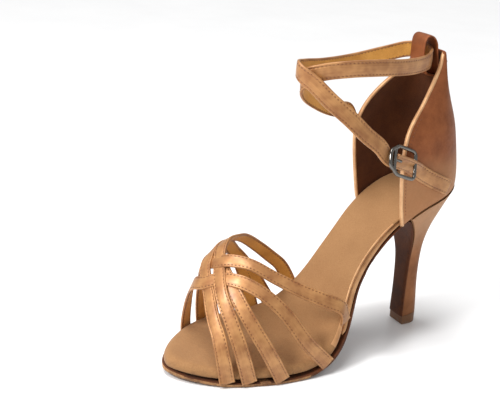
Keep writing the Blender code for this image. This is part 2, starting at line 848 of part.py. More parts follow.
def buckle():
    """A polished frame with rounded corners, and a curved keeper bar on the toe side."""
    start, along, across, out, length = buckle_axes()
    corner = BUCKLE_WIDTH * 0.19
    half = BUCKLE_WIDTH / 2
    outline = []
    for x, y, first in (
        (length - corner, half - corner, 0), (corner, half - corner, 90),
        (corner, corner - half, 180), (length - corner, corner - half, 270),
    ):
        for a in np.radians(first + np.array([0, 22.5, 45, 67.5, 90])):
            outline.append((x + corner * math.cos(a), y + corner * math.sin(a)))
    ring = [start + along * a + across * b for a, b in outline]
    frame = wire("buckle_frame", ring, BUCKLE_WIRE, steel, closed=True)
    keeper = []
    for s in np.linspace(-1, 1, 15):
        bow = KEEPER_BOW * (1 - s**4)
        keeper.append(start + along * (BUCKLE_WIRE - bow) + across * (half - 0.0008) * s
                      + out * 0.0006 * (1 - s * s))
    join(frame, [wire("keeper_bar", keeper, BUCKLE_WIRE * 0.85, steel)])
    return frame


def buckle_prong():
    """The short pin that holds the strap, its root beside the near bar."""
    start, along, across, out, length = buckle_axes()
    first = BUCKLE_WIRE / 2 + GAP
    level = PRONG_WIRE / 2 - BUCKLE_WIRE / 2
    points = [start + along * (first + s * PRONG_LENGTH) + out * level for s in (0, 0.3, 0.6, 0.9)]
    prong = wire("buckle_prong", points, PRONG_WIRE, steel)
    soften = prong.modifiers.new("rounded ends", "BEVEL")
    soften.width = PRONG_WIRE * 0.22
    soften.segments = 2
    soften.limit_method = "ANGLE"
    soften.angle_limit = math.radians(60)
    return prong


def strap_loop():
    """The tab at the top of the counter, folded forwards over the ankle strap."""
    seat = SEAT_HEIGHT - SEAT_THICKNESS
    route = []
    for up in (0.80, 0.87, 0.94, 1.0):
        back = read(COUNTER, "back", up, "up") * QUARTER_REACH
        route.append((0, back - COUNTER_WALL - LOOP_STAND, seat + up * COUNTER_HEIGHT))
    for depth, rise in zip(LOOP["depth"], LOOP["rise"]):
        route.append((0, route[3][1] - depth * LOOP_DEPTH, route[3][2] + rise * LOOP_RISE))
    points = spline(route + [route[0]], 41)[:-1]
    along = unit(np.roll(points, -1, 0) - np.roll(points, 1, 0))
    out = np.stack([0 * along[:, 0], -along[:, 2], along[:, 1]], 1)
    section = strap_section(LOOP_WIDTH, LOOP_WALL)
    across = np.array([1.0, 0, 0])
    rings = [[p + across * w + n * t for w, t in section] for p, n in zip(points, out)]
    return loft("strap_loop", rings, satin, ends=False)


for old in list(bpy.data.objects):
    bpy.data.objects.remove(old, do_unlink=True)

shoe = bpy.data.objects.new("shoe", None)
bpy.context.scene.collection.objects.link(shoe)
satin = material("satin", SATIN, 0.42)
tan = material("footbed", TAN, 0.70)
suede = material("suede", SUEDE, 0.95)
brown = material("top_piece", BROWN, 0.45)
steel = material("steel", STEEL, 0.25, 1.0)

outsole()
insole()
shank_board()
heel()
top_piece()
counter()
strap_loop()
vamp_straps()
ankle_strap()
anchor_strap()
buckle()
buckle_prong()
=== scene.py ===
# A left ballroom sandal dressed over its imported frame: satin straps with gold linings and
# stitched edges, a satin counter and heel, a tan footbed and a brushed suede sole.
# Metres, toe towards -Y, outer side towards +X, floor at Z = 0.

import math
from itertools import accumulate

import bmesh
import bpy
from mathutils import Matrix, Vector, noise
from mathutils.bvhtree import BVHTree
from mathutils.geometry import interpolate_bezier


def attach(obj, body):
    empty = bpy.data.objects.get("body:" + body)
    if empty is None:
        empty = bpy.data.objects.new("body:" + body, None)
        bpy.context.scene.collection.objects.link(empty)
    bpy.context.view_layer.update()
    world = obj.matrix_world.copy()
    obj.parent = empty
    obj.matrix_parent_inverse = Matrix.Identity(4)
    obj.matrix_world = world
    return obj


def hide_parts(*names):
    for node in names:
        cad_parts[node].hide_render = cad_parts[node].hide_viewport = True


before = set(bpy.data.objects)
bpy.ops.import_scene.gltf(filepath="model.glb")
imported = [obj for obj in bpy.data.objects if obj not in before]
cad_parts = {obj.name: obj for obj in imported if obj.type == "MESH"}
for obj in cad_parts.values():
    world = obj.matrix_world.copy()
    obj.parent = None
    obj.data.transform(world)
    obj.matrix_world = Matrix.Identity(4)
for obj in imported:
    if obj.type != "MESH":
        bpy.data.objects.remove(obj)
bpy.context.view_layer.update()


# Small helpers

def toward(vector, along):
    # the part of a vector that is square to a direction, one unit long
    return (vector - along * vector.dot(along)).normalized()


def evenSteps(line, spacing):
    # points the same distance apart on a line of close points
    lengths = [0.0]
    for a, b in zip(line, line[1:]):
        lengths.append(lengths[-1] + (b - a).length)
    count = max(2, round(lengths[-1] / spacing))
    found = []
    j = 0
    for i in range(count + 1):
        target = lengths[-1] * i / count
        while j < len(line) - 2 and lengths[j + 1] < target:
            j += 1
        span = lengths[j + 1] - lengths[j]
        share = (target - lengths[j]) / span if span else 0.0
        found.append(line[j].lerp(line[j + 1], share))
    return found


def smoothRoute(points, spacing):
    # a smooth line through a route's points, which are set to a tenth of a millimetre
    knots = [Vector(round(value, 4) for value in point) for point in points]
    knots = [knots[0] * 2 - knots[1], *knots, knots[-1] * 2 - knots[-2]]
    line = []
    for before, a, b, after in zip(knots, knots[1:], knots[2:], knots[3:]):
        span = (b - a).length
        leave = ((b - a) / span * (a - before).length + (a - before) / (a - before).length * span)
        reach = ((after - b) / (after - b).length * span + (b - a) / span * (after - b).length)
        handleA = a + leave / (span + (a - before).length) * span / 3
        handleB = b - reach / (span + (after - b).length) * span / 3
        line += interpolate_bezier(a, handleA, handleB, b, 14)[:-1]
    line.append(knots[-2])
    return evenSteps(line, spacing)


def directions(line):
    # the way that a line runs at each of its points
    ends = [line[0]] + list(line) + [line[-1]]
    return [(after - before).normalized() for before, after in zip(ends, ends[2:])]


def readFacings(line, tree, centre):
    # which way a strap faces at each point, read from the frame's own strap
    alongs = directions(line)
    found = []
    for point, along in zip(line, alongs):
        normal = tree.find_nearest(point)[1]
        if normal.dot(point - centre(point)) < 0:
            normal = -normal
        flat = normal - along * normal.dot(along)
        clear = flat.length > 0.8 and (not found or flat.normalized().dot(found[-1]) > 0.8)
        if clear:
            found.append(flat.normalized())
        else:
            found.append(found[-1] if found else toward(point - centre(point), along))
    for _ in range(3):
        ends = [found[0]] + found + [found[-1]]
        found = [toward(a + b * 2 + c, along) for a, b, c, along in zip(ends, ends[1:], ends[2:], alongs)]
    return found


def stationMatrix(place, across, out, along):
    return Matrix.Translation(place) @ Matrix((across, out, along)).transposed().to_4x4()


def strapStations(line, facings, widths):
    # one matrix for each section of a strap: X across it, Y out of the foot, Z along it
    found = []
    for i, (place, out, along) in enumerate(zip(line, facings, directions(line))):
        across = out.cross(along).normalized()
        width = widths[i]
        found.append(stationMatrix(place, across * width, along.cross(across), along))
    return found


def frameMesh(node):
    # a merged copy of a frame node's mesh, because its own triangles are loose
    copy = bmesh.new()
    copy.from_mesh(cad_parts[node].data)
    bmesh.ops.remove_doubles(copy, verts=copy.verts, dist=0.00001)
    copy.normal_update()
    return copy


def frameTree(node):
    copy = frameMesh(node)
    tree = BVHTree.FromBMesh(copy)
    copy.free()
    return tree


def finishPiece(name, form, looks, levels=0):
    # turns a bmesh into a piece of the shoe that rides on its body
    mesh = bpy.data.meshes.new(name)
    form.to_mesh(mesh)
    form.free()
    for look in looks:
        mesh.materials.append(look)
    mesh.shade_smooth()
    piece = bpy.data.objects.new(name, mesh)
    bpy.context.scene.collection.objects.link(piece)
    if levels:
        rounder = piece.modifiers.new("rounder", "SUBSURF")
        rounder.levels = levels
        rounder.render_levels = levels
    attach(piece, "root")
    return piece


# Shader helpers

def socketOf(sockets, name):
    for socket in sockets:
        if socket.name == name and socket.enabled:
            return socket
    raise KeyError(name)


class Shades:
    # a material or group tree with short calls for adding nodes and joining them

    def __init__(self, tree):
        self.tree = tree

    def add(self, kind, settings=None, **inputs):
        node = self.tree.nodes.new(kind)
        for key, value in (settings or {}).items():
            setattr(node, key, value)
        for key, value in inputs.items():
            self.join(value, socketOf(node.inputs, key.replace("_", " ")))
        return node

    def join(self, value, socket):
        if isinstance(value, bpy.types.NodeSocket):
            self.tree.links.new(value, socket)
        else:
            socket.default_value = value

    def math(self, operation, a, b=0.0, clamp=False):
        node = self.tree.nodes.new("ShaderNodeMath")
        node.operation = operation
        node.use_clamp = clamp
        self.join(a, node.inputs[0])
        self.join(b, node.inputs[1])
        return node.outputs[0]

    def mix(self, share, a, b, blend="MIX"):
        node = self.tree.nodes.new("ShaderNodeMix")
        node.data_type = "RGBA"
        node.blend_type = blend
        self.join(share, node.inputs[0])
        self.join(a, node.inputs[6])
        self.join(b, node.inputs[7])
        return node.outputs[2]

    def ramp(self, value, low, high):
        # 0 below low, 1 above high, eased between
        node = self.tree.nodes.new("ShaderNodeMapRange")
        node.interpolation_type = "SMOOTHSTEP"
        self.join(value, node.inputs[0])
        node.inputs[1].default_value = low
        node.inputs[2].default_value = high
        return node.outputs[0]

    def scaled(self, vector, scale):
        node = self.tree.nodes.new("ShaderNodeMapping")
        self.join(vector, node.inputs["Vector"])
        node.inputs["Scale"].default_value = scale
        return node.outputs[0]

    def noise(self, vector, scale, detail=3.0, rough=0.55):
        node = self.add("ShaderNodeTexNoise", None, Vector=vector, Scale=scale, Detail=detail)
        node.inputs["Roughness"].default_value = rough
        return node.outputs[0]


def newGroup(name, inputs, outputs):
    # an empty node group with named sockets, ready to be filled
    tree = bpy.data.node_groups.new(name, "ShaderNodeTree")
    for label, (kind, value) in inputs.items():
        socket = tree.interface.new_socket(label, in_out="INPUT", socket_type="NodeSocket" + kind)
        if value is not None:
            socket.default_value = value
    for label, kind in outputs.items():
        tree.interface.new_socket(label, in_out="OUTPUT", socket_type="NodeSocket" + kind)
    shades = Shades(tree)
    return shades, tree.nodes.new("NodeGroupInput").outputs, tree.nodes.new("NodeGroupOutput").inputs


def makeSatinWeave():
    # satin: long soft streaks along the threads, fine ribs, and broad cloudy changes of tone
    shades, given, made = newGroup(
        "satinWeave",
        {"Vector": ("Vector", None), "Dark": ("Color", (0.2, 0.1, 0.05, 1)),
         "Light": ("Color", (0.5, 0.3, 0.15, 1))},
        {"Color": "Color", "Roughness": "Float", "Height": "Float"},
    )
    vector = given["Vector"]
    streaks = shades.noise(shades.scaled(vector, (70, 1500, 1500)), 1.0, 3.0)
    threads = shades.noise(shades.scaled(vector, (1500, 9000, 9000)), 1.0, 2.0)
    clouds = shades.noise(vector, 110.0, 2.0)
    wrinkles = shades.noise(shades.scaled(vector, (420, 130, 130)), 1.0, 2.0)
    tone = shades.math("ADD", shades.math("MULTIPLY", streaks, 0.25), shades.math("MULTIPLY", clouds, 0.75))
    tone = shades.ramp(tone, 0.24, 0.76)
    shades.join(shades.mix(tone, given["Dark"], given["Light"]), made["Color"])
    gleams = shades.noise(shades.scaled(vector, (380, 560, 560)), 1.0, 2.0)
    rough = shades.math("ADD", shades.math("MULTIPLY", gleams, 0.30), 0.18)
    rough = shades.math("ADD", rough, shades.math("MULTIPLY", threads, 0.10))
    shades.join(rough, made["Roughness"])
    height = shades.math("ADD", shades.math("MULTIPLY", threads, 0.25), shades.math("MULTIPLY", streaks, 0.35))
    height = shades.math("ADD", height, shades.math("MULTIPLY", wrinkles, 1.6))
    shades.join(height, made["Height"])
    return shades.tree


def makeStitchPuckerAndShade():
    # cloth drawn down along a row of stitches, read from the strap's own run and width; its mask also paints shade
    # into the dimples
    shades, given, made = newGroup(
        "stitchPuckerAndShade",
        {"Run": ("Float", 0.0), "Across": ("Float", 0.0), "Row": ("Float", 0.0033),
         "Reach": ("Float", 0.0006), "Pitch": ("Float", 0.0023)},
        {"Mask": "Float", "Height": "Float"},
    )
    away = shades.math("ABSOLUTE", shades.math("SUBTRACT", shades.math("ABSOLUTE", given["Across"]), given["Row"]))
    near = shades.math("SUBTRACT", 1.0, shades.math("DIVIDE", away, given["Reach"], clamp=True), clamp=True)
    turn = shades.math("MULTIPLY", shades.math("DIVIDE", given["Run"], given["Pitch"]), 2 * math.pi)
    wave = shades.math("MULTIPLY", shades.math("COSINE", turn), 0.5)
    drawn = shades.math("MULTIPLY", near, shades.math("ADD", wave, 0.5))
    shades.join(drawn, made["Mask"])
    shades.join(shades.math("MULTIPLY", drawn, -1.0), made["Height"])
    return shades.tree


def makeNap():
    # brushed nap of suede or soft leather: short fibres, with rubbed and ruffled patches
    shades, given, made = newGroup(
        "brushedNap",
        {"Vector": ("Vector", None), "Dark": ("Color", (0.2, 0.1, 0.05, 1)),
         "Light": ("Color", (0.5, 0.3, 0.15, 1)), "Fibre": ("Float", 2600.0), "Patches": ("Float", 0.5)},
        {"Color": "Color", "Roughness": "Float", "Height": "Float"},
    )
    fibres = shades.noise(given["Vector"], given["Fibre"], 3.0, 0.6)
    patches = shades.noise(given["Vector"], 60.0, 4.0, 0.6)
    tone = shades.math("MULTIPLY", shades.math("SUBTRACT", patches, 0.5), given["Patches"])
    tone = shades.math("ADD", shades.math("ADD", tone, shades.math("MULTIPLY", fibres, 0.6)), 0.2)
    shades.join(shades.mix(shades.ramp(tone, 0.2, 0.8), given["Dark"], given["Light"]), made["Color"])
    shades.join(shades.math("ADD", shades.math("MULTIPLY", patches, 0.16), 0.72), made["Roughness"])
    height = shades.math("ADD", fibres, shades.math("MULTIPLY", patches, 0.8))
    shades.join(height, made["Height"])
    return shades.tree


def makeFloorScuff():
    # grime and rubbing that gather near the floor, in broken patches
    shades, given, made = newGroup(
        "floorScuff",
        {"Vector": ("Vector", None), "Reach": ("Float", 0.012)},
        {"Mask": "Float"},
    )
    parts = shades.add("ShaderNodeSeparateXYZ", None, Vector=given["Vector"])
    low = shades.math("SUBTRACT", 1.0, shades.math("DIVIDE", parts.outputs[2], given["Reach"]), clamp=True)
    broken = shades.ramp(shades.noise(given["Vector"], 420.0, 4.0), 0.42, 0.70)
    shades.join(shades.math("MULTIPLY", low, broken), made["Mask"])
    return shades.tree


print("building shared effects")
satinWeave = makeSatinWeave()
stitchPuckerAndShade = makeStitchPuckerAndShade()
brushedNap = makeNap()
floorScuff = makeFloorScuff()


def newLook(name):
    # a material with its Principled shader, and the place that its patterns are read from
    look = bpy.data.materials.new(name)
    look.use_nodes = True
    shades = Shades(look.node_tree)
    shader = look.node_tree.nodes["Principled BSDF"]
    place = shades.add("ShaderNodeTexCoord").outputs["Object"]
    return look, shades, shader, place


def useGroup(shades, tree, **inputs):
    node = shades.add("ShaderNodeGroup", {"node_tree": tree})
    for label, value in inputs.items():
        shades.join(value, node.inputs[label])
    return node.outputs


def bumped(shades, shader, height, distance, strength=1.0):
    bump = shades.add("ShaderNodeBump", None, Height=height, Strength=strength, Distance=distance)
    shades.join(bump.outputs[0], shader.inputs["Normal"])


satinFinish = {
    "dark": (0.285, 0.106, 0.030, 1),
    "light": (0.56, 0.280, 0.098, 1),
    # painted light: a paler colour mixed in between two heights, where light gathers
    "paintedLight": (0.55, 0.30, 0.13, 1),     # where light gathers, between the two heights
    "paintedLightFrom": 0.0,
    "paintedLightTo": -1.0,
    "shine": 0.74,
    "metal": 0.52,
    "coat": 0.50,
    "sheen": 0.20,
    "sheenTint": (1.0, 0.80, 0.58, 1),
}


def makeSatin(name, finish, onStrap):
    look, shades, shader, place = newLook(name)
    vector = place
    if onStrap:
        vector = shades.add("ShaderNodeUVMap", {"uv_map": "run"}).outputs[0]
    weave = useGroup(shades, satinWeave, Vector=vector, Dark=finish["dark"], Light=finish["light"])
    colour = weave["Color"]
    height = weave["Height"]
    if onStrap:
        parts = shades.add("ShaderNodeSeparateXYZ", None, Vector=vector)
        puckerAndShade = useGroup(shades, stitchPuckerAndShade, Run=parts.outputs[0], Across=parts.outputs[1])
        # painted shade: the dimples at the stitch holes are darkened towards dark brown
        colour = shades.mix(shades.math("MULTIPLY", puckerAndShade["Mask"], 0.45), colour, (0.17, 0.060, 0.016, 1))
        height = shades.math("ADD", height, shades.math("MULTIPLY", puckerAndShade["Height"], 3.2))
    # painted light: between the two given heights the colour is mixed towards a paler tone, where light gathers
    if finish["paintedLightTo"] >= 0:
        up = shades.add("ShaderNodeSeparateXYZ", None, Vector=place).outputs[2]
        lift = shades.ramp(up, finish["paintedLightFrom"], finish["paintedLightTo"])
        colour = shades.mix(lift, colour, shades.mix(0.6, colour, finish["paintedLight"]))
    scuff = useGroup(shades, floorScuff, Vector=place, Reach=0.016)
    colour = shades.mix(shades.math("MULTIPLY", scuff["Mask"], 0.35), colour, (0.13, 0.07, 0.035, 1))
    shades.join(colour, shader.inputs["Base Color"])
    rough = shades.math("ADD", weave["Roughness"], 0.52 - finish["shine"] * 0.5)
    shades.join(rough, shader.inputs["Roughness"])
    shader.inputs["Metallic"].default_value = finish["metal"]
    shader.inputs["Coat Weight"].default_value = finish["coat"]
    shader.inputs["Coat Roughness"].default_value = 0.32
    shader.inputs["Sheen Weight"].default_value = finish["sheen"]
    shader.inputs["Sheen Roughness"].default_value = 0.35
    shader.inputs["Sheen Tint"].default_value = finish["sheenTint"]
    bumped(shades, shader, height, 0.00006)
    return look


napFinishes = {
    "footbedLeather": {"dark": (0.26, 0.122, 0.043, 1), "light": (0.375, 0.196, 0.079, 1),
                       "fibre": 1500.0, "patches": 0.35, "depth": 0.00005, "sheen": 0.12},
    "goldLining": {"dark": (0.46, 0.185, 0.026, 1), "light": (0.86, 0.45, 0.10, 1),
                   "fibre": 2600.0, "patches": 0.5, "depth": 0.00008, "sheen": 0.25},
    "darkLining": {"dark": (0.052, 0.011, 0.001, 1), "light": (0.145, 0.042, 0.009, 1),
                   "fibre": 1800.0, "patches": 0.6, "depth": 0.00010, "sheen": 0.10},
    "soleSuede": {"dark": (0.040, 0.009, 0.001, 1), "light": (0.145, 0.040, 0.008, 1),
                  "fibre": 1500.0, "patches": 0.9, "depth": 0.00022, "sheen": 0.05},
    "soleEdge": {"dark": (0.16, 0.065, 0.022, 1), "light": (0.46, 0.24, 0.10, 1),
                 "fibre": 1100.0, "patches": 1.0, "depth": 0.00030, "sheen": 0.10},
}


def makeNapLook(name):
    finish = napFinishes[name]
    look, shades, shader, place = newLook(name)
    nap = useGroup(shades, brushedNap, Vector=place, Dark=finish["dark"], Light=finish["light"],
                   Fibre=finish["fibre"], Patches=finish["patches"])
    scuff = useGroup(shades, floorScuff, Vector=place)
    colour = shades.mix(shades.math("MULTIPLY", scuff["Mask"], 0.6), nap["Color"], (0.05, 0.028, 0.018, 1))
    shades.join(colour, shader.inputs["Base Color"])
    shades.join(nap["Roughness"], shader.inputs["Roughness"])
    shader.inputs["Sheen Weight"].default_value = finish["sheen"]
    shader.inputs["Specular IOR Level"].default_value = 0.30
    bumped(shades, shader, nap["Height"], finish["depth"])
    return look


def makeThread():
    look, shades, shader, place = newLook("stitchThread")
    twist = shades.noise(place, 3800.0, 2.0)
    # painted shade: the thread is a darker brown than the tan thread itself, standing in for the shade in the
    # stitch holes
    shades.join(shades.mix(twist, (0.115, 0.034, 0.008, 1), (0.25, 0.082, 0.023, 1)),
                shader.inputs["Base Color"])
    shades.join(shades.math("ADD", shades.math("MULTIPLY", twist, 0.3), 0.35), shader.inputs["Roughness"])
    bumped(shades, shader, twist, 0.00005)
    return look


def makeSteel():
    look, shades, shader, place = newLook("polishedSteel")
    smears = shades.noise(place, 700.0, 4.0)
    scratches = shades.noise(shades.scaled(place, (300, 5200, 900)), 1.0, 2.0)
    # painted reflection: the steel's base colour is kept dark, standing in for dark surroundings mirrored in it;
    # smears vary it
    shades.join(shades.mix(smears, (0.10, 0.092, 0.082, 1), (0.24, 0.228, 0.210, 1)),
                shader.inputs["Base Color"])
    shader.inputs["Metallic"].default_value = 1.0
    rough = shades.math("ADD", shades.math("MULTIPLY", smears, 0.14), 0.06)
    shades.join(rough, shader.inputs["Roughness"])
    bumped(shades, shader, scratches, 0.00001)
    return look


def makeTopPieceLook():
    look, shades, shader, place = newLook("topPieceRubber")
    grain = shades.noise(place, 2300.0, 3.0)
    scuff = useGroup(shades, floorScuff, Vector=place, Reach=0.004)
    base = shades.mix(grain, (0.125, 0.048, 0.014, 1), (0.235, 0.100, 0.032, 1))
    colour = shades.mix(scuff["Mask"], base, (0.20, 0.13, 0.09, 1))
    shades.join(colour, shader.inputs["Base Color"])
    shades.join(shades.math("ADD", shades.math("MULTIPLY", grain, 0.3), 0.32), shader.inputs["Roughness"])
    bumped(shades, shader, grain, 0.00006)
    return look


strapSatin = makeSatin("strapSatin", satinFinish, True)
# painted shade and light: the straps' satin with a darker base standing in for the shade on the counter, turning
# paler towards its lower edge where light gathers
counterSatin = makeSatin("counterSatin", {
    **satinFinish, "dark": (0.20, 0.055, 0.014, 1), "light": (0.32, 0.100, 0.030, 1),
    "paintedLight": (0.52, 0.27, 0.12, 1), "paintedLightFrom": 0.128, "paintedLightTo": 0.106, "shine": 0.62,
    "coat": 0.05, "sheen": 0.04}, False)
# painted light: the heel's satin turns paler towards its top, where light gathers
heelSatin = makeSatin("heelSatin", {
    **satinFinish, "dark": (0.20, 0.068, 0.018, 1), "light": (0.33, 0.125, 0.040, 1),
    "paintedLight": (0.50, 0.27, 0.12, 1), "paintedLightFrom": 0.045, "paintedLightTo": 0.080, "shine": 0.62,
    "coat": 0.08, "sheen": 0.04}, False)
# painted light: a paler copy of the satin for the waist strip, standing in for the light it catches from below and
# the side
waistSatinPaintedLight = makeSatin("waistSatinPaintedLight", {
    **satinFinish, "dark": (0.46, 0.215, 0.080, 1), "light": (0.72, 0.40, 0.18, 1)}, False)
edgeSatin = makeSatin("edgeSatin", {
    **satinFinish, "dark": (0.52, 0.26, 0.11, 1), "light": (0.80, 0.48, 0.24, 1)}, False)
footbedLeather = makeNapLook("footbedLeather")
goldLining = makeNapLook("goldLining")
darkLining = makeNapLook("darkLining")
soleSuede = makeNapLook("soleSuede")
soleEdge = makeNapLook("soleEdge")
stitchThread = makeThread()
polishedSteel = makeSteel()
topPieceRubber = makeTopPieceLook()


# The lines that the straps follow, worked out from the same sizes and rules as the solids

shoeSize = {
    "length": 0.2287,
    "ballWidth": 0.080,
    "seatHeight": 0.1035,
    "seatSetback": 0.0173,
    "toeSpring": 8,          # degrees
    "flatTo": 0.28,
    "toeRound": 0.14,
    "seatRound": 0.13,
    "sole": 0.0021,
    "pad": 0.0072,
    "shank": 0.0062,
    "seatLayers": 0.0044,
    "gap": 0.0003,
    "counterHeight": 0.0835,
    "counterWall": 0.0019,
    "quarterReach": 0.0370,
    "quarterFrom": 0.765,
    "vampHeight": 0.061,
    "vampRidge": 0.42,
    "vampWall": 0.0016,
    "ankleWidth": 0.0400,
    "ankleReach": 0.0966,
    "ankleRise": 0.880,      # of the counter's height, over the seat
    "ankleWall": 0.0017,
    "buckleWire": 0.0019,
    "nudge": 0.004,
    "bedSteps": 480,
}
# place along the footbed; its rise, fitted to the photograph, and toe spring as shares of the steepest
footbedRows = [
    (0.00, 0.000, 1.0), (0.10, 0.000, 0.5), (0.18, 0.000, 0.0), (0.28, 0.000, 0.0), (0.36, 0.403, 0.0),
    (0.44, 0.865, 0.0), (0.52, 1.000, 0.0), (0.62, 0.870, 0.0), (0.72, 0.707, 0.0), (0.82, 0.457, 0.0),
    (0.92, 0.288, 0.0), (1.00, 0.230, 0.0),
]
# place along the footbed; its middle and half width as shares of the ball's width, after the same fit
outlineRows = [
    (0.00, -0.015, 0.262), (0.08, -0.040, 0.355), (0.16, -0.055, 0.440), (0.23, -0.043, 0.487),
    (0.30, -0.030, 0.500), (0.37, -0.006, 0.475), (0.43, 0.010, 0.412), (0.50, 0.010, 0.325),
    (0.56, 0.002, 0.275), (0.65, -0.006, 0.250), (0.75, -0.018, 0.267), (0.85, -0.013, 0.290),
    (0.92, 0.000, 0.295), (1.00, 0.010, 0.295),
]
# height; front of the outer and inner quarter, back and width, as shares of the reach
counterRows = [
    (0.00, -0.79, -0.81, 0.558, 1.00), (0.09, -0.81, -0.86, 0.563, 1.00),
    (0.18, -0.84, -0.91, 0.540, 0.99), (0.35, -0.90, -0.97, 0.46, 1.01),
    (0.47, -0.89, -1.00, 0.395, 1.00), (0.56, -0.83, -0.98, 0.33, 0.94),
    (0.66, -0.62, -0.90, 0.245, 0.82), (0.76, -0.36, -0.72, 0.165, 0.68),
    (0.86, -0.16, -0.42, 0.095, 0.54), (0.94, -0.07, -0.20, 0.050, 0.45),
    (1.00, -0.05, -0.11, 0.020, 0.41),
]
# place along the footbed; height of the arch under the vamp straps
archRows = [
    (0.08, 0.39), (0.12, 0.66), (0.16, 0.87), (0.21, 1.00), (0.30, 0.98), (0.40, 0.85), (0.48, 0.72),
]


def readRows(rows, column, at):
    # a column at any place, on a smooth curve that doesn't overshoot its rows
    xs = [row[0] for row in rows]
    ys = [row[column] for row in rows]
    steps = [b - a for a, b in zip(xs, xs[1:])]
    slopes = [(b - a) / step for a, b, step in zip(ys, ys[1:], steps)]
    bends = [slopes[0]]
    for before, after, left, right in zip(slopes, slopes[1:], steps, steps[1:]):
        early = 2 * right + left
        late = right + 2 * left
        bends.append((early + late) / (early / before + late / after) if before * after > 0 else 0.0)
    bends.append(slopes[-1])
    i = min(max(sum(x < at for x in xs) - 1, 0), len(xs) - 2)
    h = steps[i]
    s = min(1.0, max(0.0, (at - xs[i]) / h))
    return (ys[i] * (1 + 2 * s) * (1 - s) ** 2 + bends[i] * h * s * (1 - s) ** 2
            + ys[i + 1] * s**2 * (3 - 2 * s) - bends[i + 1] * h * s**2 * (1 - s))


def between(at, keys, values):
    # straight runs between keys, level beyond them
    for a, b, low, high in zip(keys, keys[1:], values, values[1:]):
        if at <= b:
            return low + (high - low) * max(0.0, at - a) / (b - a)
    return values[-1]


def makeBed(size):
    # Y, Z and slope along the footbed, the steepest slope found from the seat's height
    steps = size["bedSteps"]
    rise = [readRows(footbedRows, 1, i / steps) for i in range(steps + 1)]
    toeSpring = math.radians(size["toeSpring"])
    spring = [readRows(footbedRows, 2, i / steps) * toeSpring for i in range(steps + 1)]
    piece = size["length"] / steps
    ball = size["sole"] + size["gap"] + size["pad"]
    flat = int(size["flatTo"] * steps)
    low = 0.0
    high = math.radians(85)
    for _ in range(40):
        steepest = (low + high) / 2
        slope = [a * steepest - b for a, b in zip(rise, spring)]
        mids = [(a + b) / 2 for a, b in zip(slope, slope[1:])]
        zs = list(accumulate([0.0] + [math.sin(mid) * piece for mid in mids]))
        if zs[-1] - zs[flat] + ball > size["seatHeight"]:
            high = steepest
        else:
            low = steepest
    ys = list(accumulate([0.0] + [math.cos(mid) * piece for mid in mids]))
    back = size["seatSetback"] - ys[-1]
    return [(y + back, z - zs[flat] + ball, tilt) for y, z, tilt in zip(ys, zs, slope)]


bedLine = makeBed(shoeSize)


def bedPoint(at, x, drop):
    # a point under the footbed, measured square to it
    place = min(1.0, max(0.0, at)) * shoeSize["bedSteps"]
    i = min(int(place), shoeSize["bedSteps"] - 1)
    y, z, slope = (a + (b - a) * (place - i) for a, b in zip(bedLine[i], bedLine[i + 1]))
    y += (min(at, 0.0) + max(at - 1, 0.0)) * shoeSize["length"]
    return Vector((x, y + drop * math.sin(slope), z - drop * math.cos(slope)))


def halfWidth(at):
    toe = min(1.0, max(0.0, at / shoeSize["toeRound"]))
    seat = min(1.0, max(0.0, (1 - at) / shoeSize["seatRound"]))
    ends = math.sqrt(1 - (1 - toe) ** 2) * math.sqrt(1 - (1 - seat) ** 2)
    return readRows(outlineRows, 2, at) * shoeSize["ballWidth"] * ends


def middleOf(at):
    return readRows(outlineRows, 1, at) * shoeSize["ballWidth"]


def layersAt(at):
    size = shoeSize
    depths = (size["pad"], size["shank"], size["shank"], size["seatLayers"])
    return between(at, (0.42, 0.52, 0.74, 0.86), depths)


def archPoint(at, around):
    # a point on the arch that the vamp straps lie on; its ridge is over the inner side
    size = shoeSize
    half = halfWidth(at) + size["gap"] + size["vampWall"] / 2
    cosine = math.cos(math.radians(around))
    sine = math.sin(math.radians(around))
    power = between(at, (0.14, 0.28), (1.45, 0.95))
    if cosine > 0:
        power = 0.85
        side = cosine**power - size["vampRidge"] * sine**2
    else:
        side = -size["vampRidge"] - (1 - size["vampRidge"]) * abs(cosine) ** power
    share = abs(sine) ** power
    foot = bedPoint(at, 0, (layersAt(at) - size["gap"]) * between(at, (0.38, 0.47), (1, 0.4)))
    top = bedPoint(at, 0, 0)
    height = top.z - foot.z + readRows(archRows, 1, at) * size["vampHeight"]
    return Vector((middleOf(at) + half * side, foot.y + share * (top.y - foot.y), foot.z + share * height))


def vampRoute(rows):
    # rows: degrees round the arch, share along the footbed, and lift in strap thicknesses
    arounds = [rows[0][0]]
    for before, after in zip(rows, rows[1:]):
        turn = after[0] - before[0]
        parts = 1 if turn <= 24 else 2
        arounds += [before[0] + turn * (k + 1) / parts for k in range(parts)]
    line = []
    for around in arounds:
        at = readRows(rows, 1, around)
        lift = readRows(rows, 2, around) * shoeSize["vampWall"]
        over = archPoint(at, min(180, around + 0.5)) - archPoint(at, max(0, around - 0.5))
        along = archPoint(at + shoeSize["nudge"], around) - archPoint(at - shoeSize["nudge"], around)
        out = along.cross(over).normalized()
        if (out.x if around < 60 else out.z) < 0:
            out = -out
        line.append(archPoint(at, around) + out * lift)
    return line


def seatPoint(at, side):
    # the seat's outline on the underside of the board, moved out to the counter's outside
    near = max(0.0, at - 0.0001)
    far = min(1.0, at + 0.0001)
    run = (far - near) * shoeSize["length"]
    across = middleOf(far) + side * halfWidth(far) - middleOf(near) - side * halfWidth(near)
    inset = -(shoeSize["gap"] + shoeSize["counterWall"])
    alongIn = side * across / math.hypot(run, across)
    acrossIn = -side * run / math.hypot(run, across)
    if at >= 1:
        alongIn = -1.0
        acrossIn = 0.0
    moved = at + alongIn * inset / shoeSize["length"]
    return bedPoint(moved, middleOf(at) + side * halfWidth(at) + acrossIn * inset, layersAt(at))


